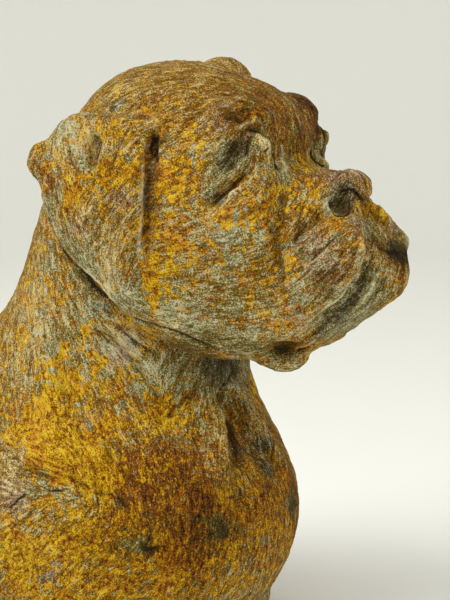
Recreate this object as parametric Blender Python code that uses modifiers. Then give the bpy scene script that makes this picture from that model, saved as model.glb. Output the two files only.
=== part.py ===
"""Bust of a seated dog of a mastiff or boxer type, one hollow iron casting modelled as one solid.

The figure is built as a sculptor builds it. Lumps of clay, which are ellipsoids and tapered rods, are
placed in two frames, one for the trunk and one for the turned head. A voxel remesh fuses them, the skin
is settled onto the smooth blend of all the lumps, and the larger carving is cut in as strokes that
follow curves on the skin. The neck and trunk are cut off flat below.

Every place and size in the tables is in units of 1/200 of the head's length, so HEAD_LENGTH drives the
whole figure. Both frames start in the middle of the head: x runs forward, z up, and y to the left.
A lump or stroke with a y above zero stands for a pair, one on each side.
"""

import math
from dataclasses import dataclass

import bmesh
import bpy
import numpy as np
from mathutils import Matrix, Vector

HEAD_LENGTH = 0.200  # back of the skull to the front of the lips, metres
UNIT = HEAD_LENGTH / 200
HEAD_TURN = 12.0  # degrees that the head looks to the dog's left of its chest
HEAD_NOD = 0.0  # degrees that the nose points up
CUT_HEIGHT = -262.0  # where the flat underside lies, units
SPARE = 8.0  # units kept below that until the skin is thinned out

FIRST_VOXEL = 6.0  # units
SKIN_VOXEL = 3.0
ROD_BALLS = 8
JAW_BLEND = 5.0  # how softly the head runs into the neck, units
CREASE_DEPTH = 4.5  # of the crease between them
CREASE_WIDTH = 3.5
SOLID_TRIANGLES = 9500
RUST_COLOUR = (0.30, 0.20, 0.06, 1.0)  # linear


@dataclass
class Lump:
    """One ellipsoid of clay. pitch tips its front up, and yaw swings its front outwards, in degrees."""

    name: str
    centre: tuple
    radii: tuple
    blend: float = 12.0
    pitch: float = 0.0
    yaw: float = 0.0
    paired: bool = True


@dataclass
class Rod:
    """A tapered rod with round ends."""

    name: str
    start: tuple
    end: tuple
    radii: tuple
    blend: float = 20.0
    paired: bool = True


@dataclass
class Stroke:
    """A furrow, or with a negative depth a ridge, along a curve through points near the skin."""

    name: str
    points: tuple
    width: float
    depth: float


HEAD_CLAY = (
    Lump("skull", (-12, 0, 24), (67, 60, 56)),
    Lump("nape of the skull", (-47, 0, 8), (38, 46, 44), 16),
    Lump("back of the crown", (-31, 0, 45), (26, 38, 22), 16),
    Lump("forehead", (30, 0, 36), (34, 38, 32), 14),
    Lump("brow", (43, 30, 42), (19, 17, 17), 10),
    Lump("cheekbone", (14, 46, -6), (44, 22, 36), 18, yaw=-12),
    Lump("hanging cheek", (0, 42, -40), (50, 27, 32), 18, pitch=-20),
    Lump("corner of the jaw", (36, 34, -58), (42, 24, 27), 16),
    Lump("front of the cheek", (50, 30, -18), (32, 24, 42), 18, yaw=-12),
    Lump("muzzle", (70, 0, -18), (38, 36, 34), 14),
    Lump("side of the muzzle", (76, 22, -26), (30, 20, 32), 14, yaw=-14),
    Lump("bridge of the nose", (74, 0, 8), (32, 18, 12), 10),
    Rod("lower jaw", (111, 0, -36), (51, 0, -65), (18, 27), 14),
    Rod("lower lip", (99, 16, -42), (64, 26, -67), (17, 18), 10),
    Rod("lip", (97, 18, -25), (74, 27, -46), (22, 22), 9),
    Lump("back of the lip", (60, 32, -56), (26, 17, 24), 10, pitch=-30),
    Lump("nose", (94, 0, 10), (12, 18, 11), 3),
    Lump("wing of the nose", (92, 12, 4), (12, 10, 9), 3),
    Lump("eyeball", (47, 40, 19), (14, 11, 11), 3),
    Lump("upper lid", (52, 33, 33), (12, 11, 14), 5),
    Lump("pouch under the eye", (50, 46, 3), (13, 9, 9), 8),
    Lump("fold of the left brow", (48, 31, 38), (12, 12, 12), 7, paired=False),
    Lump("knob of the right lip", (67, -27, -82), (14, 11, 9), 6, paired=False),
    Lump("chin's knob", (89, 0, -60), (9, 14, 9), 6),
    Lump("ear flap", (-33, 62, 5), (34, 11, 47), 6, pitch=22),
    Lump("ear root", (-31, 54, 39), (24, 13, 14), 9),
    Lump("ear's back fold", (-66, 62, 24), (10, 8, 12), 3),
    Rod("fold of the left ear", (-9, 46, 64), (-16, 61, 30), (18.5, 13), 12, paired=False),
    Lump("root of the left ear's fold", (-16, 50, 46), (32, 16, 20), 14, paired=False),
)

HEAD_STROKES = (
    Stroke("edge of the ear", ((5, 56, 42), (3, 60, 34), (4, 66, 14), (4, 70, -8), (0, 70, -30)), 4.2, 4.5),
    Stroke("lip of the ear", ((-5, 60, 38), (-5, 68, 14), (-5, 72, -8), (-9, 71, -28)), 5, -3),
    Stroke("fold above the ear", ((-44, 57, 56), (-28, 56, 58), (-12, 52, 57), (2, 50, 50)), 5, 3.5),
    Stroke("hollow of the ear", ((-28, 70, 40), (-31, 72, 22)), 6, 4),
    Stroke("arch of the brow", ((27, 46, 46), (36, 38, 56), (50, 30, 54), (58, 28, 42)), 4.5, -2),
    Stroke("furrow under the arch", ((40, 46, 48), (46, 43, 49), (52, 40, 46)), 4, 3),
    Stroke("upper lid's furrow", ((50, 42, 45), (57, 32, 42), (60, 25, 33), (63, 26, 23)), 3.5, 4),
    Stroke("inner corner's fold", ((60, 20, 33), (63, 20, 25), (68, 29, 17)), 3.5, -3),
    Stroke("eye's opening", ((61, 44, 23), (53, 51, 17), (47, 55, 12), (43, 59, 5), (36, 62, 0)), 3.5, 4),
    Stroke("lower lid", ((60, 47, 17), (53, 54, 11), (47, 58, 5)), 3.5, -2),
    Stroke("pouch's furrow", ((44, 60, -4), (53, 58, -6), (61, 54, -3), (66, 47, 6)), 3.5, 2),
    Stroke(
        "muzzle's furrow",
        ((68, 30, 19), (72, 38, 8), (71, 45, -5), (73, 46, -20), (72, 48, -34), (75, 48, -52)),
        4.5,
        4,
    ),
    Stroke("second furrow", ((77, 34, 5), (77, 40, -4), (75, 44, -14)), 4, 3),
    Stroke("wrinkle from the nostril", ((93, 26, 2), (87, 37, -6), (80, 45, -19)), 4, 3),
    Stroke("nostril", ((93, 24, 1), (98, 22, 2), (101, 17, 6), (105, 9, 5)), 3.5, 5),
    Stroke("lip's parting", ((104, 0, 3), (109, 0, -2), (115, 0, -8), (120, 0, -15)), 4, 3),
    Stroke(
        "mouth",
        ((110, 2, -3), (115, 11, -8), (119, 20, -14), (119, 27, -24), (115, 30, -34), (102, 33, -52),
         (85, 38, -69)),
        4.5,
        5.5,
    ),
    Stroke("edge of the lip", ((119, 27, -14), (116, 33, -22), (110, 36, -31), (99, 39, -47)), 4, -2.5),
    Stroke("corner of the mouth", ((62, 44, -80), (70, 40, -83), (78, 35, -79)), 7, 8),
)

TRUNK_CLAY = (
    Rod("neck", (-39, 0, -8), (-65, 0, -130), (62, 82), 20),
    Lump("chest", (-30, 0, -188), (80, 88, 76), 30),
    Lump("ribs", (-105, 0, -220), (122, 94, 120), 30, pitch=-30),
    Lump("withers", (-112, 0, -120), (50, 62, 50), 30),
    Lump("shoulder", (-66, 70, -190), (54, 34, 72), 16, pitch=-25),
    Lump("upper arm", (-44, 66, -240), (38, 32, 50), 16),
    Rod("foreleg", (-32, 54, -225), (-32, 54, -330), (31, 29), 14),
)

TRUNK_STROKES = (
    Stroke("throat's fold", ((-24, 64, -68), (-6, 56, -92), (12, 42, -118), (18, 30, -112)), 7, 5),
    Stroke("ridge of the throat", ((19, 14, -106), (27, 17, -130), (33, 25, -146), (38, 32, -164)), 7, -5),
    Stroke("furrow of the throat", ((22, 2, -104), (27, 4, -124), (33, 7, -140), (37, 14, -156)), 7, 6),
    Stroke("collar's crease", ((-52, 98, -149), (-26, 92, -154), (-5, 81, -163), (14, 73, -180)), 7, 4),
    Stroke("upper crease", ((-48, 74, -98), (-34, 79, -120), (-20, 83, -142)), 8, 3),
    Stroke("chest's crease", ((-10, 74, -136), (2, 70, -148), (12, 66, -162)), 6, 3),
)


def rotation(lump):
    """Columns are the lump's own axes."""
    pitch = Matrix.Rotation(math.radians(-lump.pitch), 3, "Y")
    yaw = Matrix.Rotation(math.radians(lump.yaw), 3, "Z")
    return np.array(yaw @ pitch)


def distance(points, lump):
    """Signed distance from points to a lump's surface, near enough for blending."""
    if isinstance(lump, Rod):
        start, end = np.array(lump.start, float), np.array(lump.end, float)
        axis = end - start
        share = np.clip((points - start) @ axis / (axis @ axis), 0, 1)
        radius = lump.radii[0] + (lump.radii[1] - lump.radii[0]) * share
        return np.linalg.norm(points - start - share[:, None] * axis, axis=1) - radius
    local = (points - lump.centre) @ rotation(lump)
    radii = np.array(lump.radii, float)
    near = np.linalg.norm(local / radii, axis=1)
    slope = np.linalg.norm(local / radii**2, axis=1) + 1e-9
    return near * (near - 1) / slope


def blend(a, b, width):
    """The smooth union of two distances."""
    share = np.clip(0.5 + 0.5 * (b - a) / width, 0, 1)
    return b + (a - b) * share - width * share * (1 - share)


def fused(points, clay):
    sided = points * (1, 0, 1) + np.abs(points) * (0, 1, 0)
    total = np.full(len(points), 1e3)
    for lump in clay:
        total = blend(total, distance(sided if lump.paired else points, lump), lump.blend)
    return total


def head_axes():
    """Columns are the head's axes in the trunk's frame."""
    turn = Matrix.Rotation(math.radians(HEAD_TURN), 3, "Z")
    nod = Matrix.Rotation(math.radians(-HEAD_NOD), 3, "Y")
    return np.array(turn @ nod)


def fields(points):
    """Signed distances to the head's skin and to the trunk's."""
    return fused(points @ head_axes(), HEAD_CLAY), fused(points, TRUNK_CLAY)


def skin(points):
    """Signed distance to the blended skin."""
    return blend(*fields(points), JAW_BLEND)


def settle(points, rounds=6, reach=0.5):
    """Slides points down the field's gradient until they lie on the skin."""
    for _ in range(rounds):
        here = skin(points)
        gradient = np.stack(
            [skin(points + step) - here for step in np.eye(3) * reach], axis=1
        ) / reach
        steepness = np.maximum((gradient**2).sum(axis=1), 0.2)
        points = points - gradient * (here / steepness)[:, None]
    return points


def both_sides(centre, paired):
    x, y, z = centre
    return [(x, y, z), (x, -y, z)] if paired and y else [(x, y, z)]


def add_lump(lump, frame):
    """Adds one ellipsoid, or the balls that stand for a rod, as rough clay."""
    made = []
    if isinstance(lump, Rod):
        start, end = Vector(lump.start), Vector(lump.end)
        thin, thick = lump.radii
        balls = [
            (start.lerp(end, i / ROD_BALLS), (thin + (thick - thin) * i / ROD_BALLS,) * 3, Matrix())
            for i in range(ROD_BALLS + 1)
        ]
    else:
        balls = [(Vector(lump.centre), lump.radii, Matrix(rotation(lump).tolist()).to_4x4())]
    for centre, radii, turn in balls:
        for side in both_sides(centre, lump.paired):
            bpy.ops.mesh.primitive_uv_sphere_add(segments=32, ring_count=16, radius=1)
            ball = bpy.context.object
            swing = turn.copy()
            if side[1] < 0 < centre[1]:
                mirror = Matrix.Diagonal((1, -1, 1, 1))
                swing = mirror @ turn @ mirror
            ball.matrix_world = (
                frame @ Matrix.Translation(side) @ swing @ Matrix.Diagonal((*radii, 1))
            )
            made.append(ball)
    return made


def rough_clay():
    frame = Matrix(head_axes().tolist()).to_4x4()
    balls = [b for lump in HEAD_CLAY for b in add_lump(lump, frame)]
    balls += [b for lump in TRUNK_CLAY for b in add_lump(lump, Matrix())]
    bpy.context.view_layer.update()
    bpy.ops.object.select_all(action="DESELECT")
    for ball in balls:
        ball.select_set(True)
    bpy.context.view_layer.objects.active = balls[0]
    bpy.ops.object.join()
    body = bpy.context.object
    bpy.ops.object.transform_apply()
    return body


def remesh(body, voxel):
    modifier = body.modifiers.new("fuse", "REMESH")
    modifier.mode = "VOXEL"
    modifier.voxel_size = voxel
    bpy.context.view_layer.objects.active = body
    bpy.ops.object.modifier_apply(modifier=modifier.name)


def get_points(mesh):
    points = np.empty(len(mesh.vertices) * 3, np.float32)
    mesh.vertices.foreach_get("co", points)
    return points.reshape(-1, 3).astype(float)


def set_points(mesh, points):
    mesh.vertices.foreach_set("co", points.astype(np.float32).ravel())
    mesh.update()


def along(points, gap=1.0):
    """Even samples of the smooth curve through the given points, and each one's share of the length."""
    knots = np.array([points[0], *points, points[-1]], float)
    pieces = []
    for a, b, c, d in zip(knots, knots[1:], knots[2:], knots[3:]):
        count = max(2, int(np.linalg.norm(c - b) / gap))
        t = np.arange(count)[:, None] / count
        pieces.append(
            b + 0.5 * t * (c - a + t * (2 * a - 5 * b + 4 * c - d + t * (3 * (b - c) + d - a)))
        )
    curve = np.concatenate([*pieces, knots[-1:]])
    return curve, np.linspace(0, 1, len(curve))


def carve(points, normals, strokes, axes):
    """Cuts each furrow, and raises each ridge, fading towards both ends of its curve."""
    moved = np.zeros(len(points))
    for stroke in strokes:
        curve, share = along(stroke.points)
        fade = np.minimum(1, np.sin(np.pi * np.clip(share, 0.03, 0.97)) * 1.6)
        for side in (1, -1):
            track = settle((curve * (1, side, 1)) @ axes.T)
            reach = 3 * stroke.width
            near = np.where(
                ((points > track.min(axis=0) - reach) & (points < track.max(axis=0) + reach)).all(axis=1)
            )[0]
            gaps = np.linalg.norm(points[near, None] - track, axis=2)
            closest = gaps.argmin(axis=1)
            gap = gaps[np.arange(len(near)), closest]
            cut = stroke.depth * fade[closest] * np.exp(-((gap / stroke.width) ** 2))
            deeper = np.abs(cut) > np.abs(moved[near])
            moved[near] = np.where(deeper, cut, moved[near])
            if not curve[:, 1].any():
                break
    return points - normals * moved[:, None]


def crease(points, normals):
    """Cuts the crease where the head's skin meets the neck's."""
    head, trunk = fields(points)
    cut = CREASE_DEPTH * np.exp(-(((head - trunk) / CREASE_WIDTH) ** 2))
    return points - normals * cut[:, None]


def get_normals(mesh):
    normals = np.empty(len(mesh.vertices) * 3, np.float32)
    mesh.vertices.foreach_get("normal", normals)
    return normals.reshape(-1, 3).astype(float)


def slice_off(body, height):
    """Cuts the open body level at the height, keeping what lies above."""
    shape = bmesh.new()
    shape.from_mesh(body.data)
    everything = [*shape.verts, *shape.edges, *shape.faces]
    bmesh.ops.bisect_plane(
        shape, geom=everything, plane_co=(0, 0, height), plane_no=(0, 0, 1), clear_inner=True
    )
    shape.to_mesh(body.data)
    shape.free()


def thin_out(body, triangles):
    """Decimates the body, sparing the head, whose carving is finer than the trunk's."""
    group = body.vertex_groups.new(name="spared")
    points = get_points(body.data) @ head_axes()
    on_head = (points[:, 2] > -95) & (points[:, 0] > -75)
    group.add(np.flatnonzero(on_head).tolist(), 0.5, "REPLACE")
    modifier = body.modifiers.new("thin", "DECIMATE")
    modifier.ratio = triangles / sum(len(face.vertices) - 2 for face in body.data.polygons)
    modifier.vertex_group = group.name
    modifier.invert_vertex_group = True
    modifier.vertex_group_factor = 0.3
    modifier.use_collapse_triangulate = True
    bpy.context.view_layer.objects.active = body
    bpy.ops.object.modifier_apply(modifier=modifier.name)
    body.vertex_groups.clear()


def close_underside(body):
    shape = bmesh.new()
    shape.from_mesh(body.data)
    rim = [edge for edge in shape.edges if edge.is_boundary]
    bmesh.ops.contextual_create(shape, geom=rim)
    bmesh.ops.recalc_face_normals(shape, faces=shape.faces)
    shape.to_mesh(body.data)
    shape.free()


def set_down(body):
    """Turns units into metres, with the origin under the middle of the bounding box."""
    points = get_points(body.data) * UNIT
    low, high = points.min(axis=0), points.max(axis=0)
    middle = (low + high) / 2
    set_points(body.data, points - (middle[0], middle[1], low[2]))


def cast_iron():
    metal = bpy.data.materials.new("cast_iron")
    metal.use_nodes = True
    surface = metal.node_tree.nodes["Principled BSDF"]
    surface.inputs["Base Color"].default_value = RUST_COLOUR
    surface.inputs["Metallic"].default_value = 0.2
    surface.inputs["Roughness"].default_value = 0.8
    return metal


def sculpt():
    body = rough_clay()
    for voxel in (FIRST_VOXEL, SKIN_VOXEL):
        remesh(body, voxel)
        set_points(body.data, settle(get_points(body.data)))
    for strokes, axes in ((HEAD_STROKES, head_axes()), (TRUNK_STROKES, np.eye(3))):
        points, normals = get_points(body.data), get_normals(body.data)
        set_points(body.data, carve(points, normals, strokes, axes))
    set_points(body.data, crease(get_points(body.data), get_normals(body.data)))
    return body


def main():
    for obj in list(bpy.data.objects):
        bpy.data.objects.remove(obj)
    body = sculpt()
    body.name = body.data.name = "dog_bust"
    slice_off(body, CUT_HEIGHT - SPARE)
    thin_out(body, SOLID_TRIANGLES)
    slice_off(body, CUT_HEIGHT)
    close_underside(body)
    set_down(body)
    body.data.shade_smooth()
    body.data.set_sharp_from_angle(angle=math.radians(60))
    body.data.materials.append(cast_iron())
    dog = bpy.data.collections.new("cast_iron_dog")
    bpy.context.scene.collection.children.link(dog)
    for collection in body.users_collection:
        collection.objects.unlink(body)
    dog.objects.link(body)
    return body


if __name__ == "__main__":
    main()
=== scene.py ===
import math
from dataclasses import dataclass
from itertools import product

import bpy
import numpy as np
from mathutils import Matrix, Vector
from mathutils.bvhtree import BVHTree


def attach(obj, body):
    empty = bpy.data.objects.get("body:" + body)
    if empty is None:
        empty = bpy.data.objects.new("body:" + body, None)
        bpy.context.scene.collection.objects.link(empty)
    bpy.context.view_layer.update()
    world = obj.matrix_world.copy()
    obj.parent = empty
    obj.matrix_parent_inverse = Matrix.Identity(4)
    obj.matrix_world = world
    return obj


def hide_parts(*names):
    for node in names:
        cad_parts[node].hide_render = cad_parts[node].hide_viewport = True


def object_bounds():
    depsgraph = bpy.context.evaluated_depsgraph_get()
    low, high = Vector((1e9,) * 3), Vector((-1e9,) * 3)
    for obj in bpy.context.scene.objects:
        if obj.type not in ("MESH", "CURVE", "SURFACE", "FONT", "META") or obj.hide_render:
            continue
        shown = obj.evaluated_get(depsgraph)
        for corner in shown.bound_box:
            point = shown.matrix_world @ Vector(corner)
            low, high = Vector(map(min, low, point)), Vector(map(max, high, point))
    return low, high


bl_info = {
    "name": "Cast Iron Dog Bust",
    "version": (1, 0, 0),
    "blender": (4, 5, 0),
    "location": "3D View > Sidebar > Iron Dog",
    "description": "Cuts the coat and fine carving into the casting of a dog's bust and lays its patina on",
    "category": "Object",
}

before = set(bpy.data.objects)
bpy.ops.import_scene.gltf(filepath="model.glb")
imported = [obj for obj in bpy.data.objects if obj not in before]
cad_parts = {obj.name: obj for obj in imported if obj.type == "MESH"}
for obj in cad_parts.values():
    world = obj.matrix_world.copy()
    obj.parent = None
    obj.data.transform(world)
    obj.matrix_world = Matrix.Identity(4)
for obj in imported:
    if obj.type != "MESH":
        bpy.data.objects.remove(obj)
CAD_BOX = [list(corner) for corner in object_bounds()]

CASTING = "dog_bust"
BODY = "root"
IRON_SLOT = "weathered_iron"

# Every place on the dog is in units of 1/200 of the head's length. The bust is FIGURE_HEIGHT units tall,
# so the casting's box gives the size of a unit. Each frame starts in the middle of the head: x runs
# forward, y to the left and z up. The head's frame is turned from the trunk's by HEAD_TURN.
FIGURE_HEIGHT = 344.55
HEAD_MIDDLE = (50.04, -0.01, 262.0)  # from the middle of the underside
HEAD_TURN = 12.0  # degrees to the dog's left
UNIT = (CAD_BOX[1][2] - CAD_BOX[0][2]) / FIGURE_HEIGHT
TURN = np.array(Matrix.Rotation(math.radians(HEAD_TURN), 3, "Z"))
MIDDLE = np.array(HEAD_MIDDLE) * UNIT

COMB_REACH = 20  # units that a comb guides the coat
FAR = 9.0  # widths of a stroke, so far away that it no longer counts
SPARE = 8  # units that the copy reaches below the casting's underside until it is cut off
LEVEL = 1e-4  # metres within which a point lies on the underside
WELD = 1e-6  # metres between corners of the casting's faces that are one point
SHARP_EDGE = 70  # degrees of bend from which an edge of the carving stays sharp
STROKE_REACH = 3  # widths from its curve within which a stroke cuts the skin
GLINT_AND_WEAR = 0.6  # how much paler a stroke gets from painted highlight and wear where its line's darkness is below zero

# Units from the middle of the head to where the camera looks, so that neck and chest fill its view
AIM_RIGHT = 14.5
AIM_DOWN = 58
VIEW_HEIGHT = 348  # units from the view's top to its bottom at the head

SIDES = {"both": (1, -1), "left": (1,), "right": (-1,)}


@dataclass
class Stroke:
    """A furrow, or with a negative depth a ridge, along a curve through points near the skin.

    The points are on the left side. side says on which sides of the dog the stroke is cut. The last field
    is how dark a thin line of dirt and painted shade lies along it, or below zero how much paler painted
    highlight and wear make it.
    """

    name: str
    points: tuple
    width: float
    depth: float
    side: str = "both"
    dirt_and_shade: float = 1.0


@dataclass
class Patch:
    """A soft ball round a point, where a colour or painted shade gathers, or with a negative amount where
    it is missing; a negative amount of shade paints light.

    side works as a stroke's does.
    """

    centre: tuple
    radius: float
    amount: float = 1.0
    side: str = "both"


@dataclass
class Comb:
    """Which way the coat runs round a place on the left side. The right side mirrors it."""

    name: str
    centre: tuple
    heading: tuple


def patches(*rows):
    """Patches from rows of their centre, radius, amount and side. The last two may be left out."""
    return tuple(Patch(*row) for row in rows)


HEAD_COMBS = (
    Comb("top of the skull", (5, 26, 70), (1, -0.3, 0.1)),
    Comb("forehead", (45, 14, 62), (0.9, 0, -0.3)),
    Comb("side of the skull", (5, 48, 56), (0.7, -0.6, 0.4)),
    Comb("temple", (26, 48, 44), (0.85, -0.3, 0.4)),
    Comb("ear's top", (-28, 71, 30), (0, 0, 1)),
    Comb("ear's rear", (-47, 71, 20), (-0.2, 0, 1)),
    Comb("middle of the ear", (-27, 73, 8), (0.8, -0.1, 0.5)),
    Comb("ear's tip", (-14, 72, -14), (0.4, 0, 0.9)),
    Comb("rear of the jaw", (-46, 70, -17), (-0.4, 0.1, 0.9)),
    Comb("upper cheek", (17, 65, 14), (0.9, -0.3, 0.4)),
    Comb("below the eye", (36, 58, 12), (0.65, -0.5, 0.6)),
    Comb("before the eye", (43, 52, 26), (0.4, -0.5, 0.7)),
    Comb("inner corner", (64, 32, 26), (-0.1, 0.3, 1)),
    Comb("stop", (64, 0, 36), (-0.2, 0, 1)),
    Comb("cheek", (20, 68, -10), (1, -0.2, 0.15)),
    Comb("front of the cheek", (52, 58, -14), (0.9, -0.35, 0.3)),
    Comb("root of the muzzle", (78, 42, 2), (0.3, -0.6, 0.75)),
    Comb("side of the muzzle", (92, 40, -14), (0.65, -0.4, 0.6)),
    Comb("flew", (100, 42, -30), (0.75, -0.3, 0.55)),
    Comb("front of the flew", (113, 34, -26), (0.45, -0.4, 0.8)),
    Comb("front of the muzzle", (121, 14, -24), (0.1, 0, 1)),
    Comb("lip", (96, 36, -55), (0.7, -0.3, 0.6)),
    Comb("lower cheek", (36, 64, -40), (1, -0.3, 0.12)),
    Comb("edge of the jaw", (22, 64, -60), (1, -0.2, -0.05)),
    Comb("chin", (66, 50, -66), (0.95, -0.3, 0.05)),
)

TRUNK_COMBS = (
    Comb("nape", (-62, 62, -40), (-0.45, -0.3, 0.85)),
    Comb("neck behind the ear", (-42, 67, -42), (-0.4, -0.1, 0.9)),
    Comb("side of the neck", (-40, 71, -80), (-0.35, -0.1, 0.95)),
    Comb("root of the neck", (-40, 78, -112), (-0.35, -0.15, 0.9)),
    Comb("side of the throat", (-10, 58, -80), (-0.7, 0.4, 0.6)),
    Comb("fold of the throat", (-5, 58, -112), (-0.55, 0.2, 0.75)),
    Comb("throat", (15, 28, -100), (0.15, -0.6, 0.8)),
    Comb("front of the throat", (24, 4, -120), (-0.35, -0.3, 0.85)),
    Comb("collar", (-42, 93, -146), (-0.95, 0.1, 0.3)),
    Comb("shoulder", (-36, 99, -180), (0.75, -0.25, 0.6)),
    Comb("front of the shoulder", (-12, 88, -196), (0.65, -0.35, 0.65)),
    Comb("side of the chest", (2, 70, -150), (-0.4, -0.2, 0.9)),
    Comb("chest", (30, 46, -152), (-0.3, -0.3, 0.9)),
    Comb("breast", (44, 20, -172), (-0.3, -0.15, 0.9)),
    Comb("foot of the chest", (46, 24, -200), (0.1, -0.2, 1)),
)

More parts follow.
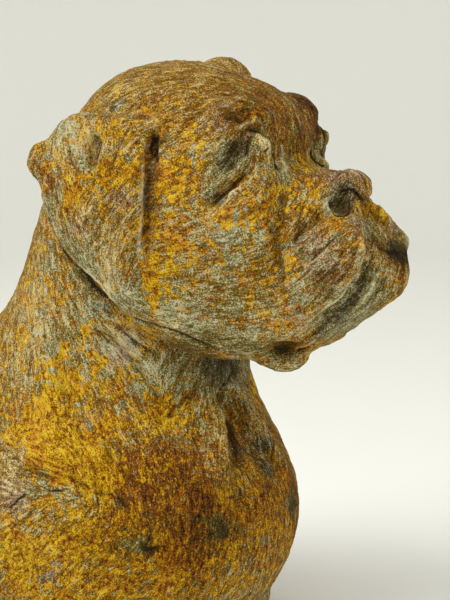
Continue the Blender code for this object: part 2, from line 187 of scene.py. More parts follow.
HEAD_STROKES = (
    Stroke("front edge of the ear",
           ((1, 53, 45), (1, 56, 36), (1, 58, 29), (1, 61, 23), (2, 63, 14), (2, 66, 3), (3, 67, -8),
            (3, 68, -22)), 2.2, 0.9, dirt_and_shade=0.45),
    Stroke("top of the ear's furrow", ((1, 54, 40), (1, 57, 34), (1, 58, 28)), 2.4, 1),
    Stroke("top of the ear's edge", ((4, 56, 42), (3, 58, 36), (3, 60, 31), (4, 63, 25)), 2.2, 1.4),
    Stroke("hair over the ear's edge", ((6, 54, 42), (6, 62, 28), (8, 67, 10)), 2, -0.8, dirt_and_shade=0),
    Stroke("lip of the ear",
           ((-2, 63, 27), (0, 67, 16), (1, 69, 5), (1, 70, -8), (0, 71, -28)), 1.9, -1.8, dirt_and_shade=-0.9),
    Stroke("fold above the ear",
           ((-46, 67, 49), (-34, 66, 53), (-24, 61, 55), (-14, 56, 55), (1, 52, 50)), 2.4, 1, dirt_and_shade=0.2),
    Stroke("rounding of the ear", ((-20, 71, 36), (-22, 71, 30), (-24, 72, 24)), 5, -1.6, dirt_and_shade=0),
    Stroke("hollow of the ear", ((-28, 71, 39), (-30, 71, 32), (-31, 72, 25)), 2.6, 1.6, dirt_and_shade=0.5),
    Stroke("edge of the ear's hollow", ((-26, 70, 37), (-27, 71, 31), (-29, 72, 26)), 1.5, 0.8),
    Stroke("crease on the ear", ((-45, 71, 34), (-43, 72, 26), (-38, 73, 19)), 1.6, 0.7, dirt_and_shade=0.6),
    Stroke("rear of the jaw", ((-60, 65, -12), (-63, 54, -23), (-57, 53, -30), (-46, 55, -37)), 1.9, 1.6),
    Stroke("crease under the jaw",
           ((-56, 53, -31), (-46, 55, -37), (-39, 54, -46), (-29, 55, -53), (-18, 55, -61), (-6, 59, -64),
            (4, 61, -66)), 2.8, 2),
    Stroke("lower edge of the jaw",
           ((-14, 57, -62), (2, 61, -64), (20, 60, -69), (30, 57, -73), (40, 52, -77)), 1.7, 1.4, dirt_and_shade=0.9),
    Stroke("hair along the jaw",
           ((-46, 69, -28), (-38, 68, -38), (-30, 66, -47), (-20, 65, -57)), 2, -1, dirt_and_shade=-0.8),
    Stroke("arch of the brow",
           ((24, 40, 55), (29, 36, 58), (43, 35, 59), (50, 34, 57), (57, 34, 53), (61, 33, 48)), 2.2, -1.2,
           dirt_and_shade=0),
    Stroke("furrow over the arch",
           ((28, 32, 63), (40, 29, 64), (52, 27, 61), (60, 26, 52)), 2, 0.9, dirt_and_shade=0.5),
    Stroke("pit of the brow", ((39, 45, 50), (44, 45, 50), (49, 44, 49)), 2, 1.2, dirt_and_shade=0.6),
    Stroke("furrow under the arch",
           ((50, 46, 41), (54, 44, 44), (59, 40, 45), (64, 36, 40), (65, 35, 34), (65, 33, 26)), 1.6, 1.8,
           dirt_and_shade=0.9),
    Stroke("ball of the lid", ((61, 43, 39), (62, 42, 36), (61, 42, 33)), 5, -2.4, dirt_and_shade=0),
    Stroke("behind the ball", ((56, 44, 42), (53, 46, 36), (54, 47, 29)), 1.8, 1.4, dirt_and_shade=0.8),
    Stroke("rim of the upper lid",
           ((47, 47, 44), (54, 42, 48), (58, 40, 48), (61, 37, 45)), 1.5, -0.9, dirt_and_shade=-0.6),
    Stroke("pit of the upper lid", ((63, 40, 34), (62, 41, 31)), 1.3, 1),
    Stroke("inner fold", ((62, 21, 32), (63, 23, 25), (67, 30, 18)), 2, -1.4, dirt_and_shade=-0.4),
    Stroke("behind the inner fold", ((65, 33, 31), (64, 31, 26), (66, 31, 21)), 1.5, 1.4),
    Stroke("before the inner fold", ((62, 17, 31), (63, 17, 25), (67, 25, 18)), 1.5, 1.2),
    Stroke("upper crease of the lid",
           ((49, 46, 37), (45, 47, 32), (42, 50, 25), (39, 55, 18)), 1.5, 0.9, dirt_and_shade=0.6),
    Stroke("eye's opening",
           ((56, 46, 22), (51, 49, 17), (47, 53, 12), (42, 56, 7), (38, 60, 1)), 2, 1.4, dirt_and_shade=0.9),
    Stroke("lower lid",
           ((61, 42, 19), (57, 48, 19), (52, 53, 13), (48, 57, 8), (43, 60, 2)), 1.5, -1.2, dirt_and_shade=-0.9),
    Stroke("pit of the pouch", ((52, 55, 11), (53, 55, 10)), 1, 0.8),
    Stroke("second pit of the pouch", ((56, 53, 9), (57, 53, 8)), 1, 0.8),
    Stroke("pouch's furrow", ((44, 60, -3), (51, 58, -4), (58, 56, -3), (65, 49, 4)), 1.7, 0.8, dirt_and_shade=0.4),
    Stroke("inner corner's crease",
           ((60, 43, 20), (63, 43, 16), (66, 43, 11), (68, 44, 5)), 1.5, 0.5, dirt_and_shade=0.3),
    Stroke("muzzle's furrow",
           ((67, 31, 16), (70, 36, 8), (72, 42, -2), (71, 45, -13), (72, 46, -23), (74, 47, -34),
            (77, 49, -47)), 2.6, 1.6, dirt_and_shade=0.4),
    Stroke("second furrow", ((80, 35, 6), (81, 38, -3), (81, 40, -12), (80, 45, -20)), 1.7, 1.2, dirt_and_shade=0.6),
    Stroke("pit of the cheek", ((67, 46, -10), (67, 46, -12)), 1.6, 1),
    Stroke("wrinkle from the nostril",
           ((92, 31, 1), (89, 36, -4), (86, 40, -8), (81, 44, -16)), 1.6, 1.1, dirt_and_shade=0.5),
    Stroke("wrinkle of the muzzle", ((103, 31, -10), (97, 38, -18), (88, 44, -28)), 1.5, 0.8, dirt_and_shade=0.6),
    Stroke("lower wrinkle of the muzzle",
           ((107, 34, -22), (101, 40, -30), (92, 45, -40)), 1.5, 0.8, dirt_and_shade=0.6),
    Stroke("rim of the nostril",
           ((92, 22, 8), (94, 25, 3), (98, 28, 0), (101, 23, 1), (103, 18, 4)), 1.7, 1.4),
    Stroke("nostril",
           ((96, 22, 8), (99, 18, 10), (102, 15, 10), (104, 10, 7), (105, 5, 4), (105, 0, 2)), 2.2, 2),
    Stroke("wing of the nostril",
           ((94, 24, 9), (92, 26, 5), (94, 27, 1), (98, 29, -2)), 1.8, -1.4, dirt_and_shade=-0.8),
    Stroke("top edge of the nose", ((88, 22, 12), (90, 12, 18), (91, 0, 20)), 1.8, 0.8, dirt_and_shade=0.4),
    Stroke("lip's parting",
           ((105, 0, 2), (108, 0, -2), (112, 0, -7), (118, 0, -14), (121, 0, -20)), 2, 1.4, dirt_and_shade=0.7),
    Stroke("fold beside the parting", ((107, 3, 0), (115, 11, -8), (119, 20, -14)), 2.6, 1, dirt_and_shade=0.5),
    Stroke("front of the mouth", ((124, 0, -23), (123, 10, -21), (120, 18, -17)), 2.4, 0.8, "right", 0.8),
    Stroke("left front of the mouth", ((125, 0, -25), (123, 9, -24), (119, 19, -20)), 4, -2, "left", 0.6),
    Stroke("swell of the left lip",
           ((103, 10, 0), (106, 12, -3), (109, 14, -7), (112, 18, -11)), 4, -3, "left", 0),
    Stroke("mouth",
           ((119, 19, -13), (119, 27, -24), (115, 29, -36), (108, 30, -48), (97, 32, -61), (85, 38, -71)),
           3.4, 0.8, dirt_and_shade=0.35),
    Stroke("edge of the lip",
           ((113, 30, -10), (116, 31, -18), (116, 32, -24), (113, 33, -33), (107, 35, -40), (101, 36, -49),
            (92, 41, -56)), 2.2, -2, dirt_and_shade=-1.1),
    Stroke("behind the lip's edge",
           ((112, 34, -15), (111, 36, -26), (104, 39, -38), (96, 42, -49)), 1.5, 1, dirt_and_shade=0.5),
    Stroke("fold of the lower lip",
           ((120, 22, -31), (118, 23, -38), (114, 24, -46), (106, 25, -56)), 1.6, -1, dirt_and_shade=-0.5),
    Stroke("under that fold", ((123, 16, -34), (119, 18, -44), (112, 20, -54)), 1.6, 0.9, dirt_and_shade=0.6),
    Stroke("hollow at the mouth's corner", ((66, 46, -78), (72, 43, -78), (79, 38, -78)), 4.4, 5),
    Stroke("closed lips", ((79, 36, -79), (83, 31, -78), (87, 25, -77)), 1.8, 1.8),
)

TRUNK_STROKES = (
    Stroke("throat's fold",
           ((-23, 65, -70), (-13, 61, -81), (-5, 55, -93), (2, 48, -105), (10, 43, -118)), 2.4, 1.2,
           dirt_and_shade=0.4),
    Stroke("turn of the fold",
           ((10, 43, -119), (14, 34, -115), (15, 27, -110), (17, 20, -106)), 2.4, 1.2, dirt_and_shade=0.5),
    Stroke("under the jaw",
           ((-9, 62, -56), (-4, 55, -66), (7, 43, -76), (22, 30, -84)), 2.4, 1.6, dirt_and_shade=0.8),
    Stroke("lock under the jaw", ((-14, 60, -66), (-4, 54, -76), (6, 44, -85)), 1.7, 1, dirt_and_shade=0.8),
    Stroke("ridge of the throat",
           ((20, 12, -113), (25, 15, -126), (31, 20, -139), (37, 24, -152)), 3.2, -1.6, dirt_and_shade=0),
    Stroke("edge of that ridge",
           ((18, -11, -98), (20, -3, -107), (23, 4, -118), (28, 9, -130), (33, 17, -142), (37, 25, -152)),
           1.7, 1.6, "right"),
    Stroke("furrow of the throat",
           ((20, -3, -110), (25, 1, -121), (30, 4, -133), (36, 9, -146)), 3, 2, dirt_and_shade=0.7),
    Stroke("hollow of the chest",
           ((17, -26, -114), (20, -32, -126), (31, -25, -141), (42, -16, -159)), 2, 1.4, "right", 0.7),
    Stroke("collar's crease",
           ((-54, 99, -148), (-43, 97, -150), (-38, 96, -151), (-31, 94, -152)), 1.5, 1, dirt_and_shade=0.5),
    Stroke("lower collar's crease",
           ((-24, 90, -151), (-19, 89, -154), (-14, 86, -156), (-10, 84, -159)), 1.4, 1, dirt_and_shade=0.5),
    Stroke("end of the collar's crease",
           ((-10, 84, -159), (-5, 81, -161), (0, 77, -161), (8, 74, -168)), 1.6, 1.1, dirt_and_shade=0.5),
    Stroke("crack below the collar", ((-33, 95, -159), (-27, 94, -157), (-22, 92, -156)), 1.2, 0.7),
    Stroke("shoulder's wrinkle", ((-56, 102, -172), (-50, 102, -166), (-44, 101, -161)), 1.5, 0.8),
    Stroke("second wrinkle", ((-54, 103, -184), (-48, 103, -178), (-40, 101, -174)), 1.4, 0.7, dirt_and_shade=0.7),
    Stroke("upper crease",
           ((-50, 72, -84), (-44, 75, -100), (-40, 76, -111), (-33, 79, -121)), 2, 0.6, dirt_and_shade=0.3),
    Stroke("crease of the nape", ((-52, 68, -60), (-46, 71, -80), (-38, 74, -98)), 1.6, 0.5, dirt_and_shade=0.25),
    Stroke("second crease of the nape",
           ((-62, 64, -48), (-57, 71, -70), (-52, 74, -90)), 1.6, 0.5, dirt_and_shade=0.25),
    Stroke("edge of the shoulder", ((-30, 80, -122), (-26, 82, -134), (-16, 82, -144)), 1.8, 0.8, dirt_and_shade=0.4),
    Stroke("chest's crease", ((-8, 72, -138), (0, 70, -146), (10, 68, -156)), 2, 1, dirt_and_shade=0.5),
    Stroke("dent of the chest", ((33, 53, -179), (37, 47, -176), (40, 43, -174)), 2.4, 1, dirt_and_shade=0.4),
    Stroke("lower dent of the chest", ((16, 71, -189), (21, 68, -190), (25, 64, -188)), 3, 1.4, dirt_and_shade=0.7),
    Stroke("pit of the chest", ((35, 46, -173), (37, 43, -172)), 1.8, 1),
)

HEAD_PATCHES = {
    "gold": patches(
        ((0, 20, 78), 40, -0.15), ((20, 62, 20), 14, 0.35), ((20, 67, -6), 14, 0.2), ((14, 66, 12), 8, 0.2),
        ((9, 69, -43), 10, 0.5), ((12, 67, -50), 11, 0.4), ((12, 69, -26), 12, 0.4), ((47, 59, -5), 6, 0.9),
        ((60, 53, -10), 9, 0.5), ((74, 24, 18), 9, 0.4), ((36, 63, -20), 12, 0.3), ((72, 46, 6), 8, 0.5),
        ((85, 43, -17), 8, 0.2), ((46, 60, -20), 9, 0.4), ((82, 34, 10), 10, 0.4), ((80, 47, -27), 10, 0.5),
        ((110, 35, -13), 4), ((101, 32, -7), 5), ((109, 14, -6), 7, 0.9, "left"), ((-40, 73, 10), 6),
        ((-21, 69, 41), 9, 0.2), ((-22, 72, 14), 9, 0.6), ((-42, 72, 4), 8, 0.6), ((-10, 71, 22), 8, 0.5),
        ((122, 17, -35), 4, 0.8), ((114, 20, -49), 3, 0.7), ((106, 27, -10), 6, -0.6), ((105, 9, -2), 5),
        ((69, 5, 28), 8, 0.5),
    ),
    "green": patches(
        ((0, 20, 78), 40, -0.3), ((112, 10, -8), 9, 0.5, "right"), ((43, 50, 28), 9, 0.9),
        ((39, 57, 14), 7, 0.8), ((61, 42, 36), 8), ((65, 25, 23), 8), ((55, 57, -16), 12, 0.6),
        ((48, 60, -34), 10, 0.4), ((86, 47, -46), 5), ((115, 32, -24), 5, 0.9), ((105, 35, -44), 6, 0.9),
        ((112, 24, -46), 8, 0.7), ((100, 27, -56), 14, 0.9), ((119, 16, -46), 7, 0.8),
        ((95, 12, -68), 12, 0.8), ((118, 22, -35), 9, 0.8), ((105, 25, -54), 12, 0.7),
        ((118, 5, -15), 7, 0.5), ((55, 51, -72), 12, 0.9), ((32, 57, -70), 14, 0.7),
        ((50, 58, -52), 8, 0.6), ((-60, 66, 0), 9, 0.9), ((-52, 66, 42), 9, 0.7), ((-42, 68, -30), 13, 0.9),
        ((-8, 68, -46), 12, 0.6), ((18, 66, -54), 16, 0.6), ((-33, 72, 26), 7, 0.6),
        ((-36, 62, -38), 9, 0.9), ((-18, 64, -55), 8, 0.8), ((70, 33, -88), 9, 0.9), ((93, 24, 3), 6),
    ),
    "rust": patches(
        ((7, 62, 22), 9), ((8, 65, 4), 9), ((8, 67, -13), 9), ((7, 70, -39), 11), ((58, 56, 2), 5, 0.7),
        ((83, 47, -55), 6, 0.9), ((-58, 69, 14), 9, 0.4), ((60, 22, 52), 14, 0.5), ((84, 10, 18), 10, 0.5),
        ((123, 6, -38), 7, 0.4),
    ),
    "plum": patches(
        ((108, 18, -8), 9, 0.7), ((50, 46, 34), 9, 0.4), ((36, 44, 52), 10, 0.6), ((98, 40, -26), 16, 0.55),
        ((90, 44, -16), 10, 0.6), ((42, 62, -16), 10, 0.5), ((-15, 71, 8), 8, 0.4),
        ((-37, 72, -10), 8, 0.5), ((94, 10, 19), 12, 0.9), ((52, 34, 42), 16, 0.9, "left"),
    ),
    # Dark dirt; the rows in the nostril and at the mouth's corner also paint shade into those hollows
    "slate": patches(
        ((42, 50, 25), 8, 0.7), ((45, 45, 32), 7, 0.6), ((37, 59, 9), 5, 0.6), ((115, 22, -29), 6, 0.6),
        ((111, 24, -39), 6, 0.6), ((106, 25, -49), 6, 0.7), ((99, 27, -58), 7, 0.7),
        ((90, 30, -66), 7, 0.6), ((50, 46, 36), 7, 0.5), ((-29, 71, 33), 5, 0.8), ((-26, 52, 59), 8, 0.9),
        ((96, 19, 3), 7), ((98, 15, 9), 7), ((122, 4, -21), 8, 0.6), ((124, 4, -25), 7, 0.5),
        ((44, 56, 8), 5, 0.6), ((69, 34, -77), 6, 0.9),
    ),
    "pale": patches(
        ((14, 63, -62), 8, 0.7), ((-20, 71, -25), 9, 0.7), ((-30, 62, -45), 7, 0.7),
        ((-34, 73, -1), 6, 0.6), ((52, 54, 12), 5, 0.4), ((62, 41, 36), 6, 0.8), ((65, 27, 24), 5, 0.6),
        ((65, 25, 23), 6, 0.4), ((71, 35, -88), 6, 0.9), ((44, 62, -26), 8, 0.4),
    ),
    # Painted shade, and painted light where the amount is below zero
    "shade": patches(
        ((-48, 70, 34), 18, -0.6), ((-22, 68, -36), 14, -0.7), ((50, 56, -2), 12, -0.5),
        ((24, 66, -10), 24, -0.2), ((124, 0, -27), 9, 0.6), ((122, 10, -20), 8, 0.6),
        ((18, 61, -62), 13, -0.7), ((2, 70, -34), 9, 0.5), ((45, 22, 66), 24, 0.5),
        ((-33, 67, 36), 9, -0.7), ((44, 43, 51), 8, 0.25), ((64, 4, 34), 11, 0.6),
        ((78, 47, -61), 12, -0.6), ((52, 36, 52), 12, 0.6), ((46, 48, 32), 9, 0.6), ((37, 49, 38), 9, -0.4),
        ((97, 18, 2), 5), ((2, 59, 37), 5, 0.8), ((5, 66, 18), 6, 0.5), ((-16, 70, 22), 10, 0.4),
        ((6, 65, 0), 7, 0.4), ((70, 34, -76), 6, 1.6), ((52, 34, 42), 18, 1, "left"),
    ),
}

TRUNK_PATCHES = {
    "gold": patches(
        ((0, 70, -190), 50, 0.2), ((-28, 67, -71), 5), ((-30, 69, -79), 4, 0.8), ((-19, 65, -88), 5, 0.9),
        ((-39, 75, -98), 12), ((-40, 72, -83), 8, 0.5), ((-54, 90, -124), 16, 0.6),
        ((-24, 92, -154), 13, 0.5), ((-40, 100, -196), 24, 0.4), ((48, 8, -180), 16, 0.3),
        ((14, 66, -222), 30, 0.3), ((-47, 84, -121), 9), ((38, 38, -168), 14, 0.35), ((-40, 86, -131), 12),
        ((-27, 84, -138), 12), ((-13, 79, -147), 12), ((-16, 70, -124), 9, 0.7), ((0, 48, -99), 12, 0.6),
        ((10, 42, -118), 11, 0.8), ((42, 28, -166), 6, 0.7), ((41, 6, -152), 8, 0.3),
        ((28, 60, -194), 12, 0.7), ((44, 30, -192), 14, 0.5), ((10, 72, -172), 12, 0.4),
        ((-52, 103, -202), 12, 0.7), ((-12, 89, -190), 8, 0.6),
    ),
    "green": patches(
        ((-10, 80, -170), 50, -0.3), ((-60, 63, -34), 10, 0.5), ((-44, 74, -84), 20, 0.4),
        ((0, 50, -96), 10, 0.7), ((12, 36, -94), 14, 0.9), ((20, 10, -100), 14, 0.7),
        ((-36, 96, -158), 12, 0.7), ((-20, 90, -158), 8, 0.9), ((16, 71, -187), 10, 0.8),
        ((43, 35, -180), 8, 0.8), ((-26, 66, -58), 12, 0.6),
    ),
    "rust": patches(
        ((2, 66, -150), 16, 0.7), ((24, 50, -148), 22, 0.9, "right"), ((14, 62, -160), 14, 0.5, "left"),
        ((18, 62, -170), 18, 0.8, "right"), ((38, 44, -186), 18, 0.9), ((46, 10, -182), 18, 0.9),
    ),
    "plum": patches(
        ((-10, 80, -170), 50, -0.25), ((-36, 80, -121), 4), ((-21, 74, -122), 6, 0.8),
        ((-16, 55, -86), 6, 0.5), ((-54, 99, -166), 14, 0.7), ((-30, 98, -205), 10, 0.7),
        ((36, 4, -138), 10, 0.5),
    ),
    # Dark dirt; the rows under the jaw and the chin also paint the shade that lies there
    "slate": patches(
        ((-22, 62, -58), 6, 0.9), ((-6, 53, -77), 6, 0.9), ((34, -16, -142), 7, 0.9, "right"),
        ((39, -12, -155), 7, 0.9, "right"), ((42, 34, -181), 8, 0.8), ((4, 76, -165), 6, 0.9),
        ((20, 69, -189), 6, 0.8), ((17, 8, -94), 13, 0.9), ((22, 44, -86), 10, 0.7),
    ),
    "pale": patches(
        ((-62, 96, -142), 10, 0.5), ((-58, 101, -158), 10, 0.8), ((-26, 97, -176), 10, 0.4),
        ((24, 14, -124), 5, 0.8), ((29, 18, -134), 6, 0.9), ((35, 24, -147), 5, 0.7),
        ((-34, 72, -84), 10, 0.4),
    ),
    # Painted shade, and painted light where the amount is below zero
    "shade": patches(
        ((-46, 87, -127), 9, -0.5), ((2, 42, -98), 10, -0.4), ((-62, 76, -90), 24, -0.5),
        ((-66, 68, -54), 18, -0.6), ((-16, 55, -83), 9, -0.7), ((26, 34, -98), 14, 0.9),
        ((18, 6, -94), 12, 0.2), ((-2, 60, -76), 18, -0.9), ((-52, 104, -178), 20, -0.25),
        ((28, 0, -126), 9, 0.7), ((36, 2, -134), 10, 0.6), ((36, 44, -206), 16, 0.4),
        ((36, 40, -164), 7, 0.8), ((38, 46, -184), 20, 0.8), ((47, 16, -172), 22, 0.55),
        ((12, 74, -188), 22, 0.5), ((20, 56, -158), 26, 0.7, "right"), ((24, 46, -140), 16, 0.7, "left"),
        ((30, 46, -78), 16, 0.8),
    ),
}

# The colours in the finished mesh's two colour attributes
GROWTH = ("gold", "green", "rust")
STAIN = ("plum", "slate", "pale")

GOLD_FREE = ("green", "plum", "slate", "pale")  # colours that leave little room for gold
MOST_SHADE = 3  # most painted shade at a point, against 1 for the colours


def paint(red, green, blue):
    """A colour as a paint chart gives it, from 0 to 255, made linear for the shaders."""
    return tuple(
        c / 255 / 12.92 if c <= 10 else ((c / 255 + 0.055) / 1.055) ** 2.4 for c in (red, green, blue)
    )


def colour(name, chart, about):
    """A colour for the panel."""
    return bpy.props.FloatVectorProperty(
        name=name, description=about, default=paint(*chart), subtype="COLOR", min=0, max=1
    )


def part_of_one(name, default, about):
    """A number from 0 to 1 for the panel."""
    return bpy.props.FloatProperty(
        name=name, description=about, default=default, min=0, max=1, subtype="FACTOR"
    )


def length(name, metres, about):
    """A length for the panel."""
    return bpy.props.FloatProperty(
        name=name, description=about, default=metres, min=0, soft_max=metres * 4, unit="LENGTH", precision=5
    )


def power(name, watts, about):
    """A lamp's power for the panel."""
    return bpy.props.FloatProperty(name=name, description=about, default=watts, min=0, unit="POWER")


def angle(name, degrees, about):
    """An angle for the panel."""
    return bpy.props.FloatProperty(
        name=name, description=about, default=math.radians(degrees), subtype="ANGLE"
    )


class DogCarving(bpy.types.PropertyGroup):
    """Sizes of the carving and the coat."""

    skin: length("Skin", 1.25e-3, "Size of the faces that the carving is cut into")
    sweep: length("Sweep", 16e-3, "Width of the slow swellings that modelling by hand leaves")
    sweep_depth: length("Sweep depth", 0.35e-3, "How deep those swellings are")
    lock: length("Lock", 3.6e-3, "Width of a lock of the coat")
    lock_depth: length("Lock depth", 0.4e-3, "How deep the gaps between the locks are")
    tuft: length("Tuft", 2.2e-3, "Width of the smallest cut tuft")
    tuft_depth: length("Tuft depth", 0.35e-3, "How deep the tufts are cut")
    triangles: bpy.props.IntProperty(
        name="Triangles", description="Most triangles in the finished body", default=196000, min=10000
    )


class DogPatina(bpy.types.PropertyGroup):
    """Colours of the weathered iron, and of the light and shade painted on it."""

    khaki: colour("Khaki", (146, 119, 36), "The paint's own worn colour")
    gold: colour("Gold", (202, 165, 0), "Bright yellow rust and lichen")
    orange: colour("Orange", (188, 134, 0), "The same growth where it is ripe")
    green: colour("Grey-green", (138, 138, 106), "Pale bloom in hollows and folds")
    rust: colour("Rust", (134, 84, 4), "Orange-brown rust")
    plum: colour("Plum", (134, 109, 90), "Purple-brown undercoat")
    pale: colour("Pale", (186, 168, 118), "Bare, bleached paint")
    slate: colour("Slate", (78, 76, 60), "Dark grey-green dirt")
    glint: colour("Glint", (132, 126, 104), "Light that the specks on the high points add")
    shadow: colour("Shadow", (178, 148, 0), "What is left of the light on the sides of the locks")
    crevice: colour("Crevice", (104, 90, 66), "What is left of it between the locks of the coat")
    gold_ground: part_of_one("Gold everywhere", 0.34, "How much of it there is outside its patches")
    green_ground: part_of_one("Grey-green everywhere", 0.28, "How much of it there is outside its patches")
    rust_ground: part_of_one("Rust everywhere", 0.3, "How much of it there is outside its patches")
    plum_ground: part_of_one("Plum everywhere", 0.26, "How much of it there is outside its patches")
    # Strength of the painted shade, with dirt, in the hollows of the strokes and the coat
    dirt_and_shade: part_of_one("Dirt", 0.4, "How strongly dirt gathers in the hollows")
    grain: length("Grain", 1.15e-3, "Width of one fleck of colour")
    roughness: part_of_one("Roughness", 0.8, "How dull the iron is")


class DogStage(bpy.types.PropertyGroup):
    """The floor, the light and the camera."""

    paper: colour("Paper", (232, 232, 226), "Floor and backdrop, one sheet of paper")
    radius: length("Radius", 3.2, "From the middle of the floor to the backdrop")
    key: power("Key light", 32, "Light from high up on the camera's left")
    fill: power("Fill light", 12, "Weaker light from in front of the dog")
    sky: bpy.props.FloatProperty(
        name="Sky", description="Strength of the even light", default=0.85, min=0
    )
    azimuth: angle("Azimuth", 40, "Camera's angle from the dog's right side towards its front")
    elevation: angle("Elevation", 5, "Camera's angle above level")
    distance: length("Distance", 1.0, "From the camera to the middle of the head")


def to_head(points):
    """Metres to units in the head's frame."""
    return (points - MIDDLE) @ TURN / UNIT


def to_trunk(points):
    """Metres to units in the trunk's frame."""
    return (points - MIDDLE) / UNIT


def from_head(points):
    """Units in the head's frame to metres."""
    return points @ TURN.T * UNIT + MIDDLE


def from_trunk(points):
    """Units in the trunk's frame to metres."""
    return points * UNIT + MIDDLE


def get_points(mesh):
    """The mesh's points as rows of an array."""
    points = np.empty(len(mesh.vertices) * 3, np.float32)
    mesh.vertices.foreach_get("co", points)
    return points.reshape(-1, 3).astype(float)


def set_points(mesh, points):
    """Moves the mesh's points there."""
    mesh.vertices.foreach_set("co", points.astype(np.float32).ravel())
    mesh.update()


def get_normals(mesh):
    """The directions outward at the mesh's points."""
    normals = np.empty(len(mesh.vertices) * 3, np.float32)
    mesh.vertex_normals.foreach_get("vector", normals)
    return normals.reshape(-1, 3).astype(float)


def set_attribute(mesh, name, values):
    """Gives each of the mesh's points a number, or a vector where values has rows."""
    kind = "FLOAT_VECTOR" if values.ndim == 2 else "FLOAT"
    field = "vector" if values.ndim == 2 else "value"
    attribute = mesh.attributes.new(name, kind, "POINT")
    attribute.data.foreach_set(field, values.astype(np.float32).ravel())


def get_attribute(mesh, name):
    """The numbers that an attribute gives the mesh's points."""
    attribute = mesh.attributes[name]
    values = np.empty(len(attribute.data), np.float32)
    attribute.data.foreach_get("value", values)
    return values.astype(float)


def noise(points, seed):
    """Smooth random values from -1 to 1, about one bump to each unit of the points."""
    size = 32
    table = np.random.default_rng(seed).uniform(-1, 1, (size, size, size))
    cell = np.floor(points).astype(int)
    ease = points - cell
    ease = ease * ease * (3 - 2 * ease)
    total = np.zeros(len(points))
    for corner in product((0, 1), repeat=3):
        share = np.where(corner, ease, 1 - ease).prod(axis=1)
        total += share * table[tuple(((cell + corner) % size).T)]
    return total


def along(points, gap=0.6):
    """Samples about one gap apart of the smooth curve through the given points, a Catmull-Rom spline."""
    knots = np.array([points[0], *points, points[-1]], float)
    pieces = []
    for a, b, c, d in zip(knots, knots[1:], knots[2:], knots[3:]):
        count = max(2, int(np.linalg.norm(c - b) / gap))
        t = np.arange(count)[:, None] / count
        pieces.append(
            b + 0.5 * t * (c - a + t * (2 * a - 5 * b + 4 * c - d + t * (3 * (b - c) + d - a)))
        )
    return np.concatenate([*pieces, knots[-1:]])


def combed(points, normals):
    """Which way the coat runs at each point, as unit vectors along the skin."""
    spread = np.zeros((len(points), 3, 3))
    spread[:, 2, 2] = 1e-6  # upright where no comb reaches
    for combs, places, turn in (
        (HEAD_COMBS, to_head(points), TURN),
        (TRUNK_COMBS, to_trunk(points), np.eye(3)),
    ):
        for comb, side in product(combs, (1, -1)):
            heading = turn @ (np.array(comb.heading) * (1, side, 1))
            away = np.linalg.norm(places - np.array(comb.centre) * (1, side, 1), axis=1)
            weight = np.exp(-((away / COMB_REACH) ** 2))
            spread += weight[:, None, None] * np.outer(heading, heading)
    lay = np.linalg.eigh(spread)[1][:, :, 2]  # the direction of the widest spread
    lay -= normals * (lay * normals).sum(axis=1, keepdims=True)
    return lay / np.linalg.norm(lay, axis=1, keepdims=True)


def streaks(points, lay, width, reach, seed):
    """Noise smeared along the coat, mostly from -1 to 1."""
    steps = (-1, -0.5, 0, 0.5, 1)
    return sum(noise((points + lay * step * reach) / width, seed) for step in steps) / 2.5


def select_only(body):
    """Selects that object and makes it the active one."""
    bpy.ops.object.select_all(action="DESELECT")
    body.select_set(True)
    bpy.context.view_layer.objects.active = body


def finish_with(body, kind, **settings):
    """Adds a modifier with those settings and applies it."""
    modifier = body.modifiers.new(kind.lower(), kind)
    for name, value in settings.items():
        setattr(modifier, name, value)
    select_only(body)
    bpy.ops.object.modifier_apply(modifier=modifier.name)


def copy_of_casting(name, skin):
    """A welded copy of the casting, made long below, with an even fine skin."""
    body = bpy.data.objects.new(name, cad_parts[CASTING].data.copy())
    bpy.context.scene.collection.objects.link(body)
    body.data.materials.clear()
    select_only(body)
    bpy.ops.object.mode_set(mode="EDIT")
    bpy.ops.mesh.select_all(action="SELECT")
    bpy.ops.mesh.remove_doubles(threshold=WELD)
    bpy.ops.mesh.select_all(action="DESELECT")
    bpy.ops.object.mode_set(mode="OBJECT")
    for face in body.data.polygons:
        face.select = face.normal.z < -0.99 and face.center.z < LEVEL
    if not any(face.select for face in body.data.polygons):
        raise RuntimeError("The casting has no flat underside to make longer")
    bpy.ops.object.mode_set(mode="EDIT")
    bpy.ops.mesh.extrude_region_move(TRANSFORM_OT_translate={"value": (0, 0, -SPARE * UNIT)})
    bpy.ops.object.mode_set(mode="OBJECT")
    finish_with(body, "SUBSURF", levels=2, render_levels=2)
    finish_with(body, "REMESH", mode="VOXEL", voxel_size=skin)
    rounded = get_points(body.data)
    finish_with(body, "SHRINKWRAP", target=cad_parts[CASTING])
    points = get_points(body.data)
    foot = rounded[:, 2] < SPARE * UNIT / 2  # so low that the casting's flat underside would draw it in
    points[foot] = rounded[foot]
    set_points(body.data, points)
    finish_with(body, "SMOOTH", factor=0.5, iterations=7)
    return body


